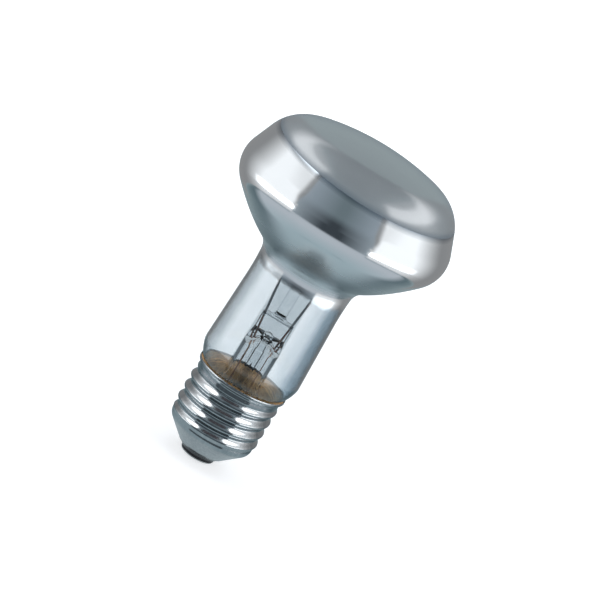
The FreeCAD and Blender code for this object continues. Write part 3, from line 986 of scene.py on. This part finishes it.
def bearing_from_front(shader):
    """The bearing round the bulb's axis in radians: 0 at the photograph's side, pi behind."""
    place = shader.place()
    across = shader.math("ABSOLUTE", place["X"], 0.0)
    return shader.math("ARCTAN2", across, shader.math("MULTIPLY", place["Y"], -1.0))


def bearing_ramp(shader, bearing, low, high, start, end):
    """The bearings from low to high, in degrees, turned into start to end and held there."""
    return shader.ramp(bearing, math.radians(low), math.radians(high), start, end)


def cloth_light(shader, bearing, height):
    """How much the cloth gives off. It falls off towards the back, later at its top."""
    later = shader.ramp(height, 0.17, 0.42, 0.0, math.radians(55))
    fall = bearing_ramp(shader, shader.math("SUBTRACT", bearing, later), 88, 128, 1.0, 0.0)
    lit = shader.profile(height, SOFTBOX_LIGHT)
    return shader.math("MULTIPLY", shader.math("POWER", fall, 1.5), lit)


def cloth_start(shader, bearing, height):
    """0 before the cloth's front edge and 1 past it. It starts sooner at its foot."""
    sooner = shader.ramp(height, 0.09, 0.19, math.radians(4), 0.0)
    return bearing_ramp(shader, shader.math("ADD", bearing, sooner), 44, 48, 0.0, 1.0)


def softbox_paint():
    """White cloth, unevenly lit, with a strip light at its foot that gives out sooner behind."""
    shader = room_paint("softbox_cloth", (0.965, 0.98, 1.0))
    place = shader.place()
    height = place["Z"]
    bearing = bearing_from_front(shader)
    strip = shader.profile(height, STRIP_LIGHT)
    strip = shader.math("MULTIPLY", strip, bearing_ramp(shader, bearing, 78, 102, 1.0, 0.0))
    bright = shader.math("ADD", cloth_light(shader, bearing, height), strip)
    right = shader.ramp(place["X"], -0.1, 0.1, 0.95, 1.03)
    bright = shader.math("MULTIPLY", bright, right)
    bright = shader.math("MULTIPLY", bright, cloth_start(shader, bearing, height))
    shader.set(Emission_Strength=shader.math("ADD", bright, SOFTBOX_DIM))
    return shader.material


def front_paint():
    """The wall behind the camera, darkest in the middle, where the camera stands."""
    shader = room_paint("room_front")
    side = bearing_ramp(shader, bearing_from_front(shader), 4, 44, 0.0, 1.0)
    up = shader.ramp(shader.height(), 0.18, 0.50, 0.0, 1.0)
    low_tone = shader.blend(side, BEHIND_CAMERA, (0.29, 0.34, 0.38))
    high_tone = shader.blend(side, (0.150, 0.190, 0.210), (0.30, 0.35, 0.40))
    shader.set(Emission_Color=shader.blend(up, low_tone, high_tone))
    return shader.material


def back_paint():
    """The wall behind the bulb, lighter higher up."""
    shader = room_paint("room_back")
    up = shader.ramp(shader.height(), 0.15, 0.30, 0.0, 1.0)
    shader.set(Emission_Color=shader.blend(up, (0.24, 0.29, 0.32), (0.38, 0.46, 0.47)))
    return shader.material


def table_paint():
    """The table as it shows in the bowl: pale round the bulb, darker past its front edge and behind."""
    shader = room_paint("table")
    back = shader.place()["Y"]
    reach = shader.distance()
    far = shader.ramp(reach, 0.03, 0.10, 0.0, 1.0)
    under = shader.ramp(reach, 0.012, 0.018, 1.0, 0.0)
    behind = shader.ramp(back, 0.0, 0.03, 0.0, 1.0)
    far_behind = shader.ramp(back, 0.035, 0.11, 0.0, 1.0)
    side = bearing_ramp(shader, bearing_from_front(shader), 10, 44, 0.0, 1.0)
    past_edge = shader.ramp(reach, 0.145, 0.175, 0.0, 1.0)
    past_edge = shader.math("MULTIPLY", past_edge, shader.math("LESS_THAN", back, 0.0))
    tone = shader.blend(far, (0.35, 0.44, 0.48), (0.47, 0.51, 0.555))
    back_tone = shader.blend(far_behind, (0.115, 0.16, 0.18), (0.25, 0.315, 0.335))
    front_tone = shader.blend(side, BEHIND_CAMERA, (0.30, 0.35, 0.39))
    tone = shader.blend(behind, tone, back_tone)
    tone = shader.blend(under, tone, (0.42, 0.49, 0.52))
    shader.set(Emission_Color=shader.blend(past_edge, tone, front_tone))
    return shader.material


def make_studio():
    """What the bulb mirrors: two softboxes, ceiling lights, and the grey room between them."""
    cloth = softbox_paint()
    grey = room_paint("room_grey", (0.20, 0.28, 0.30)).material
    shade = room_paint("ceiling_dark", (0.09, 0.085, 0.095)).material
    dark = room_paint("cap_card", (0.085, 0.105, 0.12)).material
    lamp = room_paint("ceiling_light", (0.98, 0.98, 1.0), 0.8).material
    over = CEILING_LIGHT_HEIGHT
    for name, side in (("left", -1), ("right", 1)):
        bearings = [side * bearing for bearing in SOFTBOX_BEARINGS]
        wall("softbox_" + name, SOFTBOX_RADIUS, bearings, (SOFTBOX_FOOT, SOFTBOX_TOP), cloth)
        level_panel("ceiling_light_" + name, (side * 0.27, -0.25), (side * 0.75, 0.8), over, lamp)
    front = (-ROOM_CORNER, ROOM_CORNER)
    behind = (ROOM_CORNER, 360 - ROOM_CORNER)
    wall("room_front", ROOM_RADIUS, front, (0.0, ROOM_TOP), front_paint())
    wall("room_back", ROOM_RADIUS, behind, (0.0, ROOM_TOP), back_paint())
    wall("cap_card", 0.030, (-40, 40), (0.0, 0.022), dark)
    level_panel("ceiling", (-1.5, -1.5), (1.5, 1.5), ROOM_TOP, grey)
    level_panel("ceiling_dark", (-0.22, -0.45), (0.22, 0.50), over, shade)
    table_panel(table_paint())


def make_lamp(name, place, aim, size, power):
    """A lamp that lights the bulb and shows in nothing."""
    light = bpy.data.lights.new(name, "AREA")
    light.shape = "RECTANGLE"
    light.size, light.size_y = size
    light.energy = power
    lamp = bpy.data.objects.new(name, light)
    lamp.location = place
    lamp.rotation_euler = (Vector(aim) - Vector(place)).to_track_quat("-Z", "Y").to_euler()
    lamp.visible_camera = False
    lamp.visible_glossy = False
    lamp.visible_transmission = False
    bpy.context.scene.collection.objects.link(lamp)


# Each lamp's name, place, aim, size and power
LAMPS = [
    ("lamp_left", (-0.55, -0.12, 0.35), (0, 0, 0.06), (0.5, 0.6), 1.3),
    ("lamp_right", (0.55, -0.12, 0.35), (0, 0, 0.06), (0.5, 0.6), 1.3),
    ("lamp_front", (0, -0.7, 0.3), (0, 0, 0.03), (0.4, 0.3), 2.0),
    ("lamp_top", (0, 0.1, 0.9), (0, 0, 0.05), (0.8, 0.8), 2.2),
]


def make_lamps():
    for lamp in LAMPS:
        make_lamp(*lamp)


def background_ray(tree):
    """1 for rays that show the white background: seen direct, or through or in the bulb.

    Light that a reflection gathers through the glass comes from the room instead.
    """
    path = tree.nodes.new("ShaderNodeLightPath")
    direct = math_node(tree, "LESS_THAN", path.outputs["Glossy Depth"], 0.5)
    through = math_node(tree, "MULTIPLY", path.outputs["Is Transmission Ray"], direct)
    return path, math_node(tree, "MAXIMUM", path.outputs["Is Camera Ray"], through)


def make_world():
    """A pale room. The camera, glass and metal see it white behind the bulb."""
    world = bpy.data.worlds.new("room")
    bpy.context.scene.world = world
    world.use_nodes = True
    tree = world.node_tree
    path, seen = background_ray(tree)
    white = math_node(tree, "MAXIMUM", seen, path.outputs["Is Glossy Ray"])
    tone = tree.nodes.new("ShaderNodeMix")
    tone.data_type = "RGBA"
    tone.inputs[6].default_value = (0.42, 0.44, 0.46, 1)
    tone.inputs[7].default_value = (1, 1, 1, 1)
    tree.links.new(white, tone.inputs["Factor"])
    tree.links.new(tone.outputs[2], tree.nodes["Background"].inputs["Color"])


def make_floor():
    """A pale floor under the bulb, with its shadow. The camera sees its open part white.

    Reflections show the table panel in its place. Light that they gather through the glass finds
    it dark.
    """
    size = 30.0
    below = -0.0005
    points = [(-size, -size, below), (size, -size, below), (size, size, below), (-size, size, below)]
    floor = closed_mesh("floor", points, [(0, 1, 2, 3)])
    shader = Shader("floor", Roughness=0.9, Specular_IOR_Level=0.1)
    path, seen = background_ray(shader.tree)
    cloth = shader.blend(shader.noise(60, 3), (0.60, 0.61, 0.635), (0.63, 0.64, 0.66))
    reflected = shader.math("GREATER_THAN", path.outputs["Glossy Depth"], 0.5)
    dark = shader.math("MULTIPLY", reflected, 0.75)
    glow = shader.ramp(shader.distance(), 0.1, 0.5, 0.56, 0.88)
    shader.main.inputs["Emission Color"].default_value = (1, 1, 1, 1)
    shader.set(
        Base_Color=shader.blend(dark, cloth, (0.05, 0.06, 0.06)),
        Emission_Strength=shader.math("MULTIPLY", seen, glow),
    )
    floor.data.materials.append(shader.material)
    floor.visible_glossy = False


def make_camera():
    """The photograph's view: from a little above, with the bulb's axis leaning to the right."""
    distance = 0.600
    elevation = math.radians(14.5)
    lean = math.radians(31.32)
    target = Vector((0.00232, 0, 0.05416))
    back = Vector((0, -math.cos(elevation), math.sin(elevation)))
    level = Vector((1, 0, 0))
    upright = back.cross(level)
    right = level * math.cos(lean) + upright * math.sin(lean)
    up = upright * math.cos(lean) - level * math.sin(lean)
    data = bpy.data.cameras.new("camera")
    data.lens = 131.6
    data.sensor_width = 36.0
    camera = bpy.data.objects.new("camera", data)
    turn = Matrix((right, up, back)).transposed()
    camera.matrix_world = Matrix.Translation(target + back * distance) @ turn.to_4x4()
    bpy.context.scene.collection.objects.link(camera)
    bpy.context.scene.camera = camera


make_pieces()
finish_nodes()
make_world()
make_studio()
make_lamps()
make_floor()
make_camera()
bpy.context.scene.view_settings.view_transform = "Standard"
